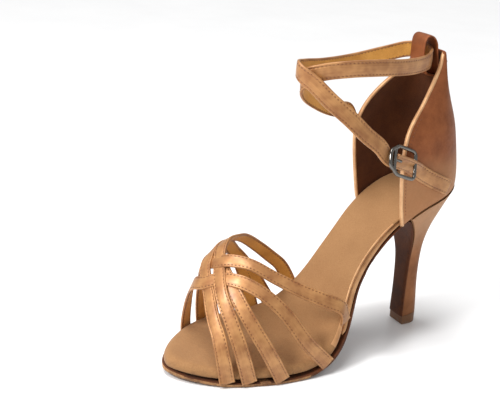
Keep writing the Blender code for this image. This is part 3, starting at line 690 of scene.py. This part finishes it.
def counterPoint(at, up, side):
    # a point on the outside of the counter
    size = shoeSize
    ring = [seatPoint(place, side) for place in (size["quarterFrom"], at, 1.0)]
    outer, inner, back = (readRows(counterRows, i, up) * size["quarterReach"] for i in (1, 2, 3))
    base = ring[1]
    half = max(abs(point.x) for point in ring)
    front = (outer + inner) / 2 + base.x / half * (outer - inner) / 2
    low = min(point.y for point in ring)
    share = (base.y - low) / (max(point.y for point in ring) - low)
    top = size["seatHeight"] - size["seatLayers"] + size["counterHeight"]
    return Vector((base.x * readRows(counterRows, 4, up), front + share * (back - front),
                   base.z + up * (top - base.z)))


def sewnPoint(at, up, side):
    # the middle line of a strap that lies on the counter
    nudge = shoeSize["nudge"]
    along = counterPoint(at + nudge, up, side) - counterPoint(at - nudge, up, side)
    over = counterPoint(at, up + nudge, side) - counterPoint(at, up - nudge, side)
    out = along.cross(over).normalized() * side
    return counterPoint(at, up, side) + out * (2 * shoeSize["gap"] + shoeSize["ankleWall"] / 2)


def anklePoint(side, reach, height):
    # shares of the ankle's width, reach and height
    size = shoeSize
    top = size["seatHeight"] + size["ankleRise"] * size["counterHeight"]
    return Vector((side * size["ankleWidth"], -reach * size["ankleReach"], height * top))


buckleBars = [(0.780, 0.482, 0.719), (0.725, 0.331, 0.685)]
buckleTilt = 22              # degrees that it looks upwards
nearBar, farBar = (anklePoint(*bar) for bar in buckleBars)
buckleAlong = (farBar - nearBar).normalized()
buckleOut = Vector((math.cos(math.radians(buckleTilt)), 0.18, math.sin(math.radians(buckleTilt))))
buckleAcross = buckleOut.cross(buckleAlong).normalized()


def underBuckle(share):
    # the middle line of a strap that passes under the buckle's bars
    drop = shoeSize["buckleWire"] / 2 + shoeSize["gap"] + shoeSize["ankleWall"] / 2
    return nearBar.lerp(farBar, share) - buckleAlong.cross(buckleAcross) * drop


# Straps

strapMake = {
    "spacing": 0.0021,
    "bead": 0.0006,          # rolled edge
    "rowInset": 0.0014,      # stitches, from the edge
    "rowDip": 0.00011,
    "crown": 0.00016,
    "turnedIn": 0.0009,      # satin that shows round the edge of the lining
}
stitchMake = {"length": 0.00115, "pitch": 0.00225, "thick": 0.00048, "proud": 0.00006}


def strapProfile(width, wall, make):
    # a strap's section from its outer edge round to the same place: across and through
    w = width / 2
    t = wall / 2
    row = w - make["rowInset"]
    upper = [(w, 0.0), (w - 0.00012, t * 0.55), (w - make["bead"] * 0.5, t * 0.96),
             (w - make["bead"] * 1.3, t),
             (row, t - make["rowDip"]), (row - 0.0009, t + make["crown"] * 0.5),
             (row * 0.35, t + make["crown"])]
    lower = [(w - 0.00012, -t * 0.6), (w - make["bead"] * 0.6, -t), (w - make["turnedIn"], -t),
             (row * 0.4, -t)]
    return upper + [(-a, b) for a, b in reversed(upper)] + [(-a, b) for a, b in lower] + [
        (a, b) for a, b in reversed(lower)]


def startStrapForm():
    # a bmesh whose points remember their place on a strap: along it, across it and through it
    form = bmesh.new()
    form.edges.layers.float.new("crease_edge")
    for name in ("run", "across", "through"):
        form.verts.layers.float.new(name)
    return form


def noteStrapPlace(form, verts, station, run):
    layers = form.verts.layers.float
    inverse = station.inverted()
    for vert in verts:
        local = inverse @ vert.co
        vert[layers["run"]] = run
        vert[layers["across"]] = local.x
        vert[layers["through"]] = local.y


def sweepStrap(form, profile, stations):
    # draws a strap's section out along its stations and closes both ends
    ring = [form.verts.new(stations[0] @ Vector((a, b, 0))) for a, b in profile]
    edges = [form.edges.new(pair) for pair in zip(ring, ring[1:] + ring[:1])]
    noteStrapPlace(form, ring, stations[0], 0.0)
    ends = [edges]
    run = 0.0
    for before, here in zip(stations, stations[1:]):
        run += (here.translation - before.translation).length
        grown = bmesh.ops.extrude_edge_only(form, edges=edges)["geom"]
        verts = [item for item in grown if isinstance(item, bmesh.types.BMVert)]
        edges = [item for item in grown if isinstance(item, bmesh.types.BMEdge)
                 and item.verts[0] in verts and item.verts[1] in verts]
        bmesh.ops.transform(form, matrix=here @ before.inverted(), verts=verts)
        noteStrapPlace(form, verts, here, run)
    ends.append(edges)
    square = form.edges.layers.float["crease_edge"]
    for edge in ends:
        for side in edge:
            side[square] = 1.0
        bmesh.ops.edgeloop_fill(form, edges=edge)


def paintStraps(form, width, wall, make):
    # gold lining on the inside but for the turned edge, and a map of run and width for the weave
    layers = form.verts.layers.float
    inner = width / 2 - make["turnedIn"] * 0.8
    for face in form.faces:
        across = [abs(vert[layers["across"]]) for vert in face.verts]
        through = [vert[layers["through"]] for vert in face.verts]
        face.material_index = int(max(through) < -wall * 0.45 and max(across) < inner)
    placeMap = form.loops.layers.uv.new("run")
    for face in form.faces:
        for loop in face.loops:
            loop[placeMap].uv = (loop.vert[layers["run"]], loop.vert[layers["across"]])


def stitchRow(threads, line, make):
    # short rounded stitches laid end to end along a line of (place, up), made apart for speed
    form = bmesh.new()
    places = [place for place, _ in line]
    lengths = [0.0]
    for a, b in zip(places, places[1:]):
        lengths.append(lengths[-1] + (b - a).length)
    distance = make["pitch"] * 0.75
    j = 0
    while distance < lengths[-1] - make["length"] * 0.5:
        while lengths[j + 1] < distance:
            j += 1
        share = (distance - lengths[j]) / (lengths[j + 1] - lengths[j])
        place = places[j].lerp(places[j + 1], share)
        along = (places[j + 1] - places[j]).normalized()
        out = toward(line[j][1].lerp(line[j + 1][1], share), along)
        across = out.cross(along)
        size = Vector((make["thick"] / 2, make["thick"] * 0.36, make["length"] / 2))
        matrix = stationMatrix(place + out * make["proud"], across * size.x, out * size.y, along * size.z)
        bmesh.ops.create_uvsphere(form, u_segments=6, v_segments=4, radius=1.0, matrix=matrix)
        distance += make["pitch"]
    made = bpy.data.meshes.new("stitchRow")
    form.to_mesh(made)
    form.free()
    threads.from_mesh(made)
    bpy.data.meshes.remove(made)


def strapRows(stations, across, through):
    # the lines of stitches on both faces of a strap
    lines = []
    for side in (1, -1):
        for face in (1, -1):
            lines.append([(station @ Vector((across * side, through * face, 0)),
                           station.col[1].to_3d() * face) for station in stations])
    return lines


def makeStraps(name, node, routes, size, centre):
    # one piece of straps and one of their stitches, along each strap's route
    print("dressing", node)
    tree = frameTree(node)
    profile = strapProfile(size["width"], size["wall"], strapMake)
    row = size["width"] / 2 - strapMake["rowInset"]
    depth = size["wall"] / 2 - strapMake["rowDip"]
    form = startStrapForm()
    threads = bmesh.new()
    for points in routes:
        line = smoothRoute(points, strapMake["spacing"])
        facings = readFacings(line, tree, centre)
        taper = [1 - size["taper"] * math.sin(math.pi * i / (len(line) - 1)) for i in range(len(line))]
        stations = strapStations(line, facings, taper)
        sweepStrap(form, profile, stations)
        for rowLine in strapRows(stations, row, depth):
            stitchRow(threads, rowLine[1:-1], stitchMake)
    paintStraps(form, size["width"], size["wall"], strapMake)
    bmesh.ops.recalc_face_normals(form, faces=form.faces)
    straps = finishPiece(name, form, [strapSatin, goldLining], levels=1)
    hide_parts(node)
    finishPiece(name + "Stitches", threads, [stitchThread])
    return straps


vampStraps = {
    "width": 0.0093,
    "wall": 0.0016,
    "taper": 0.11,
    "centre": lambda point: Vector((-0.006, point.y, 0.014)),
    # over the foot from the outer side of the sole: degrees, place along, and lift where two cross
    "rows": [
        [(0, 0.112, 0.0), (23, 0.104, 0.0), (48, 0.105, 0.0), (70, 0.117, -0.4), (88, 0.140, 0.4),
         (102, 0.168, 0.0), (128, 0.255, 0.0), (155, 0.335, 0.0), (180, 0.385, 0.0)],
        [(0, 0.164, 0.0), (20, 0.143, 0.0), (39, 0.135, 0.0), (57, 0.136, 0.4), (74, 0.152, -0.4),
         (87, 0.182, 0.0), (108, 0.255, 0.0), (130, 0.335, 0.0), (155, 0.410, 0.0), (180, 0.455, 0.0)],
        [(0, 0.247, 0.0), (13, 0.207, 0.0), (27, 0.179, -0.1), (41, 0.164, -0.4), (53, 0.158, -0.8),
         (66, 0.157, -1.1), (80, 0.162, -1.1), (98, 0.188, -0.8), (125, 0.250, -0.3),
         (155, 0.312, 0.0), (180, 0.340, 0.0)],
        [(0, 0.366, 0.0), (15, 0.310, 0.0), (31, 0.264, 0.0), (43, 0.218, 0.0), (54, 0.178, 0.0),
         (67, 0.145, -0.4), (81, 0.118, 0.4), (95, 0.110, 0.0), (120, 0.114, 0.0), (150, 0.124, 0.0),
         (180, 0.132, 0.0)],
        [(0, 0.468, 0.0), (14, 0.445, 0.0), (31, 0.384, 0.0), (42, 0.322, 0.0), (51, 0.266, 0.0),
         (62, 0.212, 0.0), (72, 0.175, 0.4), (84, 0.150, -0.4), (105, 0.148, 0.0), (135, 0.165, 0.0),
         (180, 0.190, 0.0)],
    ],
}
makeStraps("vampStraps", "vamp_straps", [vampRoute(rows) for rows in vampStraps["rows"]], vampStraps,
           vampStraps["centre"])

ankleStrap = {
    "width": 0.0098,
    "wall": 0.0017,
    "taper": 0.0,
    "centre": lambda point: Vector((0.0, -0.045, point.z)),
    # sewn on the inner quarter: shares along the seat and up the counter
    "sewn": [(0.840, 0.455), (0.812, 0.465), (0.785, 0.475)],
    # twice round the ankle and through the loop: shares of its width, reach and height
    "round": [
        (-0.622, 0.440, 0.796), (-0.480, 0.570, 0.815), (-0.290, 0.765, 0.860), (-0.130, 0.910, 0.912),
        (-0.020, 0.962, 0.948), (0.090, 0.950, 0.974), (0.220, 0.900, 0.990), (0.420, 0.760, 1.006),
        (0.500, 0.560, 1.007), (0.450, 0.370, 1.000), (0.350, 0.230, 0.998), (0.230, 0.120, 1.004),
        (0.110, 0.076, 1.013), (-0.020, 0.068, 1.019), (-0.150, 0.078, 1.022), (-0.260, 0.125, 1.020),
        (-0.355, 0.265, 1.004), (-0.410, 0.500, 0.982), (-0.300, 0.765, 0.980), (-0.150, 0.930, 0.990),
        (-0.030, 0.996, 0.994), (0.090, 0.997, 0.983), (0.230, 0.960, 0.962), (0.440, 0.880, 0.910),
        (0.610, 0.785, 0.860), (0.700, 0.680, 0.804), (0.735, 0.585, 0.762),
    ],
    "underBuckle": [-0.25, 0.03],
}
ankleRoute = ([sewnPoint(at, up, -1) for at, up in ankleStrap["sewn"]]
              + [anklePoint(*row) for row in ankleStrap["round"]]
              + [underBuckle(share) for share in ankleStrap["underBuckle"]])
makeStraps("ankleStrap", "ankle_strap", [ankleRoute], ankleStrap, ankleStrap["centre"])

anchorStrap = {
    "width": 0.0098,
    "wall": 0.0017,
    "taper": 0.0,
    "centre": lambda point: Vector((0.0, -0.015, point.z)),
    "underBuckle": [0.06, 0.5, 0.95],
    # down the outer quarter to the seat: shares along the seat and up the counter
    "sewn": [(0.845, 0.245), (0.870, 0.190), (0.895, 0.135), (0.915, 0.090)],
}
anchorRoute = ([underBuckle(share) for share in anchorStrap["underBuckle"]]
               + [sewnPoint(at, up, 1) for at, up in anchorStrap["sewn"]])
makeStraps("anchorStrap", "anchor_strap", [anchorRoute], anchorStrap, anchorStrap["centre"])


# Pieces that keep the frame's own shape, with softer edges and finer faces

def dressedForm(node, joinBelow=14, bevelFrom=None, bevelWidth=0.0003):
    # a copy of a frame node with its triangles joined up and its hard edges eased
    form = frameMesh(node)
    bmesh.ops.join_triangles(form, faces=form.faces, angle_face_threshold=math.radians(joinBelow),
                             angle_shape_threshold=math.radians(60))
    if bevelFrom:
        hard = [edge for edge in form.edges
                if len(edge.link_faces) == 2 and edge.calc_face_angle(0) > math.radians(bevelFrom)]
        bmesh.ops.bevel(form, geom=hard, offset=bevelWidth, segments=2, profile=0.5,
                        affect="EDGES", material=-1, clamp_overlap=True)
    bmesh.ops.recalc_face_normals(form, faces=form.faces)
    return form


def dressNode(name, node, looks, bevelFrom=None, bevelWidth=0.0003, levels=1, shape=None, paint=None):
    print("dressing", node)
    form = dressedForm(node, bevelFrom=bevelFrom, bevelWidth=bevelWidth)
    if shape:
        shape(form)
    if paint:
        paint(form)
    piece = finishPiece(name, form, looks, levels=levels)
    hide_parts(node)
    return piece


waistWrap = {
    "rise": 0.0018,          # up over the edge of the footbed
    "drop": 0.0008,          # down over the sole's upper edge
    "proud": 0.0006,
    "from": (-0.080, -0.068),
    "to": (-0.046, -0.036),  # where the counter's quarters begin
}


def paintFootbedEdge(form):
    # along the waist the satin is drawn up over the footbed's edge, in the paler satin whose colour is painted
    # light
    form.normal_update()
    for face in form.faces:
        waist = waistWrap["from"][0] < face.calc_center_median().y < waistWrap["to"][1]
        face.material_index = int(waist and abs(face.normal.x) > 0.55)


insoleCover = dressNode("insoleCover", "insole", [footbedLeather, waistSatinPaintedLight],
                        paint=paintFootbedEdge)


def eased(value, low, high):
    return min(1.0, max(0.0, (value - low) / (high - low)))


def wrapWaist(form):
    # the satin of the waist is drawn up over the footbed's edge
    footbed = frameTree("insole")
    for vert in form.verts:
        share = eased(vert.co.y, *waistWrap["from"]) * (1 - eased(vert.co.y, *waistWrap["to"]))
        if not share:
            continue
        up = footbed.ray_cast(Vector((0, vert.co.y, 0.3)), Vector((0, 0, -1)))[1]
        below = footbed.find_nearest(vert.co)[3]
        vert.co.x += math.copysign(waistWrap["proud"] * share, vert.co.x)
        vert.co += up * share * (waistWrap["rise"] if below < 0.0012 else -waistWrap["drop"])


buckleFit = {
    "middle": 0.003,         # from the bar beside the ankle strap towards the far one
    "longer": 1.20,
    "taller": 1.11,
    "thicker": 0.00022,      # makes up for what the rounding takes off a thin wire
}


def fitBuckle(form):
    centre = nearBar + buckleAlong * buckleFit["middle"]
    for axis, share in ((buckleAlong, buckleFit["longer"]), (buckleAcross, buckleFit["taller"])):
        for vert in form.verts:
            vert.co += axis * (vert.co - centre).dot(axis) * (share - 1)
    form.normal_update()
    for vert in form.verts:
        vert.co += vert.normal * buckleFit["thicker"]


dressNode("shankCover", "shank_board", [waistSatinPaintedLight], shape=wrapWaist)
dressNode("heelCover", "heel", [heelSatin], bevelFrom=50)
dressNode("loopTab", "strap_loop", [counterSatin], bevelFrom=50, bevelWidth=0.0002)


def paintSoleEdge(form):
    # the cut edge of the sole's forepart is paler and rougher than its brushed face; its upper margin keeps the
    # dark suede, which also paints the shade in the gap under the footbed
    form.normal_update()
    for face in form.faces:
        face.material_index = int(face.calc_center_median().y < -0.100 and -0.97 < face.normal.z < 0.75)


def roughenSoleEdge(form):
    # the sole is cut by hand, so its edge wanders a little
    rim = [edge for edge in form.edges if edge.calc_face_angle(0) > math.radians(35)
           and edge.calc_length() > 0.003 and edge.verts[0].co.y < -0.04]
    bmesh.ops.subdivide_edges(form, edges=rim, cuts=2)
    form.normal_update()
    for vert in form.verts:
        if vert.co.y < -0.04 and abs(vert.normal.z) < 0.85:
            level = Vector((vert.normal.x, vert.normal.y, 0))
            vert.co += level * noise.noise(vert.co * 260) * 0.0003


dressNode("suedeSole", "outsole", [soleSuede, soleEdge], bevelFrom=50, bevelWidth=0.0002,
          shape=roughenSoleEdge, paint=paintSoleEdge)
dressNode("topPiece", "top_piece", [topPieceRubber], bevelFrom=50, bevelWidth=0.0005)
dressNode("buckleFrame", "buckle_frame", [polishedSteel], shape=fitBuckle)
dressNode("bucklePin", "buckle_prong", [polishedSteel], shape=fitBuckle)


# Counter: satin outside, dark lining inside, a bound edge and a row of stitches beside it

counterMake = {
    "wall": 0.0019,
    "axis": Vector((0.0, -0.008, 0.0)),
    "binding": 0.0013,       # how far it reaches onto the panel, each way
    "bindingProud": 0.00042,
    "rimFrom": 0.0795,
    "rimTo": 0.1820,
    "rimSteps": 56,
    "rowInset": 0.0027,
}


def sortCounterFaces(form, make):
    # marks outside walls 0, lined walls 1 and the rim 2, by what lies behind each face
    form.normal_update()
    tree = BVHTree.FromBMesh(form)
    for face in form.faces:
        centre = face.calc_center_median()
        _, opposite, _, behind = tree.ray_cast(centre - face.normal * 0.00002, -face.normal)
        if behind is None or behind > make["wall"] * 2.2 or abs(opposite.dot(face.normal)) < 0.7:
            face.material_index = 2
            continue
        outward = centre - make["axis"]
        outward.z = 0
        face.material_index = 0 if face.normal.dot(outward) > 0 else 1


def rimLine(form, side, make):
    # up one front edge of the counter: the middle of its wall, and the way out of the foot
    hard = [edge for edge in form.edges if len(edge.link_faces) == 2
            and edge.calc_face_angle(0) > math.radians(50)]
    found = []
    for i in range(make["rimSteps"] + 1):
        level = make["rimFrom"] + (make["rimTo"] - make["rimFrom"]) * i / make["rimSteps"]
        corners = []
        for edge in hard:
            low, high = sorted((vert.co for vert in edge.verts), key=lambda co: co.z)
            if low.z <= level < high.z and low.x * side > 0.002:
                corners.append(low.lerp(high, (level - low.z) / (high.z - low.z)))
        if len(corners) < 2:
            continue
        front = min(corners, key=lambda co: co.y)
        pair = [co for co in corners if (co - front).length < make["wall"] * 1.6]
        outer = max(pair, key=lambda co: co.x * side)
        inner = min(pair, key=lambda co: co.x * side)
        if (outer - inner).length > make["wall"] * 0.4:
            found.append(((outer + inner) / 2, (outer - inner).normalized()))
    return found


def evened(vectors, passes):
    for _ in range(passes):
        vectors[1:-1] = [(a + b * 2 + c) / 4 for a, b, c in zip(vectors, vectors[1:], vectors[2:])]
    return vectors


def makeCounter(make):
    print("dressing counter")
    form = dressedForm("counter")
    sortCounterFaces(form, make)
    tree = BVHTree.FromBMesh(form)
    rims = []
    rows = []
    for side in (1, -1):
        line = rimLine(form, side, make)
        places = evened([place for place, _ in line], 3)
        outs = evened([out for _, out in line], 6)
        stations = []
        row = []
        for place, out, along in zip(places, outs, directions(places)):
            out = toward(out, along)
            inward = along.cross(out)
            if inward.y < 0:
                inward = -inward
            stations.append(stationMatrix(place, inward, out, along))
            spot, normal, _, _ = tree.find_nearest(place + inward * make["rowInset"] + out * make["wall"])
            row.append((spot, normal))
        rims.append(stations)
        rows.append(row)
    for face in form.faces:
        face.material_index = 1 if face.material_index == 1 else 0
    shell = finishPiece("counterShell", form, [counterSatin, darkLining], levels=1)
    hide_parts("counter")
    reach = make["binding"]
    half = make["wall"] / 2 + make["bindingProud"]
    profile = [(reach, half * 0.80), (reach * 0.6, half), (0, half * 0.96), (-reach * 0.35, half * 0.62),
               (-reach * 0.48, 0), (-reach * 0.35, -half * 0.62), (0, -half * 0.96), (reach * 0.6, -half),
               (reach, -half * 0.80)]
    form = startStrapForm()
    for stations in rims:
        sweepStrap(form, profile, stations)
    paintStraps(form, 0, 0, {"turnedIn": 0})
    bmesh.ops.recalc_face_normals(form, faces=form.faces)
    finishPiece("counterBinding", form, [edgeSatin], levels=1)
    threads = bmesh.new()
    for row in rows:
        stitchRow(threads, row[2:-2], stitchMake)
    finishPiece("counterStitches", threads, [stitchThread])


makeCounter(counterMake)


# Floor, lights and camera

studio = {
    "floorSize": 6.0,
    "world": 0.54,
    "sun": {"from": (-0.12, -0.16, 1.0), "spread": 32, "power": 2.15},
    "lights": {
        "keySoftbox": {"at": (0.05, -0.80, 0.66), "size": 0.24, "power": 6.0},
    },
    "aim": Vector((0.0, -0.06, 0.08)),
}


def makeStudio(settings):
    print("setting up the studio")
    form = bmesh.new()
    bmesh.ops.create_grid(form, x_segments=8, y_segments=8, size=settings["floorSize"] / 2)
    mesh = bpy.data.meshes.new("studioFloor")
    form.to_mesh(mesh)
    form.free()
    look, shades, shader, place = newLook("paleFloor")
    dust = shades.noise(place, 9.0, 3.0)
    shades.join(shades.mix(dust, (0.90, 0.90, 0.905, 1), (0.94, 0.94, 0.94, 1)), shader.inputs["Base Color"])
    shades.join(shades.math("ADD", shades.math("MULTIPLY", dust, 0.06), 0.22), shader.inputs["Roughness"])
    mesh.materials.append(look)
    floor = bpy.data.objects.new("studioFloor", mesh)
    bpy.context.scene.collection.objects.link(floor)
    sunData = bpy.data.lights.new("overheadLight", "SUN")
    sunData.energy = settings["sun"]["power"]
    sunData.angle = math.radians(settings["sun"]["spread"])
    sun = bpy.data.objects.new("overheadLight", sunData)
    sun.rotation_euler = Vector(settings["sun"]["from"]).to_track_quat("Z", "Y").to_euler()
    bpy.context.scene.collection.objects.link(sun)
    for name, light in settings["lights"].items():
        data = bpy.data.lights.new(name, "AREA")
        data.shape = "DISK"
        data.size = light["size"]
        data.energy = light["power"]
        lamp = bpy.data.objects.new(name, data)
        lamp.location = light["at"]
        lamp.rotation_euler = (settings["aim"] - Vector(light["at"])).to_track_quat("-Z", "Y").to_euler()
        bpy.context.scene.collection.objects.link(lamp)
    world = bpy.data.worlds.new("softWhite")
    world.use_nodes = True
    world.node_tree.nodes["Background"].inputs["Color"].default_value = (1.0, 1.0, 1.0, 1)
    world.node_tree.nodes["Background"].inputs["Strength"].default_value = settings["world"]
    bpy.context.scene.world = world
    bpy.context.scene.view_settings.view_transform = "Standard"


photoCamera = {
    "azimuth": 60.27,
    "elevation": 20.88,
    "roll": 3.051,
    "lens": 68.229,
    "sensor": 36.0,
    "at": Vector((0.43753, -0.37264, 0.29408)),
}


def makeCamera(settings):
    azimuth = math.radians(settings["azimuth"])
    elevation = math.radians(settings["elevation"])
    back = Vector((math.sin(azimuth) * math.cos(elevation), -math.cos(azimuth) * math.cos(elevation),
                   math.sin(elevation)))
    right = Vector((math.cos(azimuth), math.sin(azimuth), 0.0))
    up = back.cross(right)
    turn = Matrix.Rotation(math.radians(settings["roll"]), 3, back)
    data = bpy.data.cameras.new("photoCamera")
    data.lens = settings["lens"]
    data.sensor_width = settings["sensor"]
    data.clip_start = 0.01
    camera = bpy.data.objects.new("photoCamera", data)
    camera.matrix_world = stationMatrix(settings["at"], turn @ right, turn @ up, back)
    bpy.context.scene.collection.objects.link(camera)
    bpy.context.scene.camera = camera


makeStudio(studio)
makeCamera(photoCamera)

print("finished")
